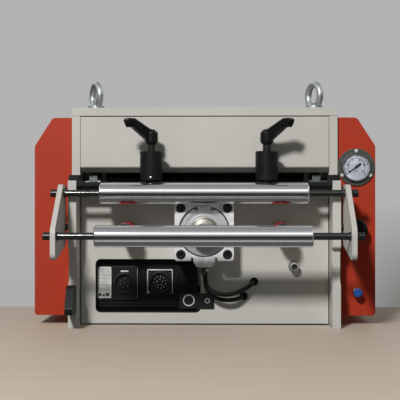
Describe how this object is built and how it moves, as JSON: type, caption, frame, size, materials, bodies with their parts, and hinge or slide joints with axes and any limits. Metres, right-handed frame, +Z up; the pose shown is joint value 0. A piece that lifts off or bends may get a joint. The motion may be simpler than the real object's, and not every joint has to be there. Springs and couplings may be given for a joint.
{
  "type": "servo roll feeder",
  "caption": "Servo roll feeder for coil strip: plate frame, pinch rolls with air release, sprung swing arms, entry rollers, edge guides and red covers.",
  "frame": {"origin": "on the floor, at the centre of the bolt pattern in the side plates' feet", "axes": "+Z up, +X to the right seen from the strip's entry side, +Y the way the strip runs"},
  "size_m": [0.5028, 0.371, 0.366],
  "materials": {
    "white_paint": "satin powder coat",
    "red_paint": "fine textured powder coat",
    "spring_red": "gloss enamel",
    "polished_steel": "ground",
    "roll_steel": "ground, dark chrome plated",
    "zinc_steel": "zinc plated",
    "machined_steel": "machined",
    "black_oxide": "black oxide",
    "black_rolls": "satin",
    "lever_black": "fine textured",
    "cylinder_aluminium": "anodised",
    "motor_black": "satin",
    "connector_metal": "black anodised",
    "fitting_nickel": "nickel plated",
    "hose_black": "smooth",
    "valve_grey": "cast",
    "gauge_grey": "satin",
    "needle_black": "matte",
    "collar_blue": "gloss"
  },
  "bodies": {
    "frame": {"side_plate_left": "white_paint", "side_plate_right": "white_paint", "top_plate": "white_paint", "entry_panel": "white_paint", "upper_cover": "white_paint", "rear_panel": "white_paint", "tie_bars": "zinc_steel", "eye_bolts": "zinc_steel", "side_cover_left": "red_paint", "side_cover_right": "red_paint", "cover_screws": "zinc_steel", "socket_screws": "black_oxide", "nose_caps": "black_oxide", "guide_bar": "black_oxide", "sensor_block": "black_rolls", "window_clip": "black_oxide", "entry_arm_left": "white_paint", "entry_arm_right": "white_paint", "arm_spacers": "black_oxide", "entry_shafts": "black_oxide", "roll_bearings": "zinc_steel", "motor_body": "motor_black", "drive_belt": "hose_black", "power_connector": "motor_black", "encoder_connector": "connector_metal", "pivot_pins": "zinc_steel", "cylinder_body": "cylinder_aluminium", "cylinder_cover": "cylinder_aluminium", "cylinder_circlip": "black_oxide", "hose_fittings": "fitting_nickel", "die_springs": "spring_red", "hose_front": "hose_black", "hose_rear": "hose_black", "hose_grommets": "hose_black", "valve_body": "valve_grey", "bulkhead_tube": "zinc_steel", "gauge_case": "gauge_grey", "regulator_body": "valve_grey", "inlet_fitting": "fitting_nickel"},
    "lower_roll": {"lower_feed_roll": "roll_steel", "lower_gear": "machined_steel", "roll_pulley": "cylinder_aluminium"},
    "motor_rotor": {"motor_pulley": "cylinder_aluminium"},
    "swing_frame": {"swing_arms": "machined_steel", "swing_bar": "machined_steel"},
    "upper_roll": {"upper_feed_roll": "roll_steel", "upper_gear": "machined_steel"},
    "release_rod": {"cylinder_rod": "cylinder_aluminium"},
    "spring_bolts": {"spring_rods": "black_oxide"},
    "upper_entry": {"upper_entry_roller": "polished_steel"},
    "lower_entry": {"lower_entry_roller": "polished_steel"},
    "guide_left": {"guide_stud_left": "black_oxide"},
    "guide_right": {"guide_stud_right": "black_oxide"},
    "guide_left_sleeve": {"guide_roller_left": "black_rolls"},
    "guide_right_sleeve": {"guide_roller_right": "black_rolls"},
    "clamp_left": {"clamp_lever_left": "lever_black"},
    "clamp_right": {"clamp_lever_right": "lever_black"},
    "pressure_knob": {"regulator_knob": "lever_black"},
    "needle": {"gauge_needle": "needle_black"},
    "release_collar": {"inlet_collar": "collar_blue"}
  },
  "joints": [
    {"name": "lower_roll_spin", "type": "hinge", "parent": "frame", "child": "lower_roll", "pos_m": [0, -0.028, 0.18125], "axis": [1, 0, 0], "continuous": true},
    {"name": "motor_spin", "type": "hinge", "parent": "frame", "child": "motor_rotor", "pos_m": [-0.2, -0.033, 0.066], "axis": [1, 0, 0], "continuous": true},
    {"name": "swing_release", "type": "hinge", "parent": "frame", "child": "swing_frame", "pos_m": [0, -0.068, 0.20875], "axis": [1, 0, 0], "range_deg": [0, 5], "stiffness_Nm_per_rad": 150, "springref_deg": -8.59},
    {"name": "upper_roll_spin", "type": "hinge", "parent": "swing_frame", "child": "upper_roll", "pos_m": [0, -0.028, 0.23625], "axis": [1, 0, 0], "continuous": true},
    {"name": "release_rod_slide", "type": "slide", "parent": "frame", "child": "release_rod", "axis": [0, 1, 0], "range_m": [0, 0.0062]},
    {"name": "spring_bolt_slide", "type": "slide", "parent": "frame", "child": "spring_bolts", "axis": [0, 1, 0], "range_m": [0, 0.0062], "deforming": ["die_springs"]},
    {"name": "upper_entry_spin", "type": "hinge", "parent": "frame", "child": "upper_entry", "pos_m": [0, -0.151, 0.1935], "axis": [1, 0, 0], "continuous": true},
    {"name": "lower_entry_spin", "type": "hinge", "parent": "frame", "child": "lower_entry", "pos_m": [0, -0.216, 0.1348], "axis": [1, 0, 0], "continuous": true},
    {"name": "guide_left_slide", "type": "slide", "parent": "frame", "child": "guide_left", "axis": [1, 0, 0], "range_m": [-0.074, 0.05]},
    {"name": "guide_right_slide", "type": "slide", "parent": "frame", "child": "guide_right", "axis": [1, 0, 0], "range_m": [-0.064, 0.058]},
    {"name": "guide_left_spin", "type": "hinge", "parent": "guide_left", "child": "guide_left_sleeve", "pos_m": [-0.076, -0.131, 0.232], "axis": [0, 0, 1], "continuous": true},
    {"name": "guide_right_spin", "type": "hinge", "parent": "guide_right", "child": "guide_right_sleeve", "pos_m": [0.09, -0.131, 0.232], "axis": [0, 0, 1], "continuous": true},
    {"name": "clamp_left_turn", "type": "hinge", "parent": "guide_left", "child": "clamp_left", "pos_m": [-0.076, -0.131, 0.275], "axis": [0, 0, 1], "range_deg": [-40, 40]},
    {"name": "clamp_right_turn", "type": "hinge", "parent": "guide_right", "child": "clamp_right", "pos_m": [0.09, -0.131, 0.275], "axis": [0, 0, 1], "range_deg": [-40, 40]},
    {"name": "regulator_turn", "type": "hinge", "parent": "frame", "child": "pressure_knob", "pos_m": [0.2215, -0.105, 0.1408], "axis": [0, 1, 0], "range_deg": [-170, 170]},
    {"name": "gauge_needle_turn", "type": "hinge", "parent": "frame", "child": "needle", "pos_m": [0.2229, -0.098, 0.2323], "axis": [0, 1, 0], "range_deg": [0, 254], "stiffness_Nm_per_rad": 0.0005},
    {"name": "collar_press", "type": "slide", "parent": "frame", "child": "release_collar", "axis": [0, 1, 0], "range_m": [0, 0.0015], "stiffness_N_per_m": 600, "springref_m": -0.002}
  ],
  "couplings": [
    {"joint": "upper_roll_spin", "follows": "lower_roll_spin", "ratio": -1},
    {"joint": "motor_spin", "follows": "lower_roll_spin", "ratio": 2},
    {"joint": "release_rod_slide", "follows": "swing_release", "m_per_rad": 0.06975},
    {"joint": "spring_bolt_slide", "follows": "swing_release", "m_per_rad": 0.06975}
  ]
}
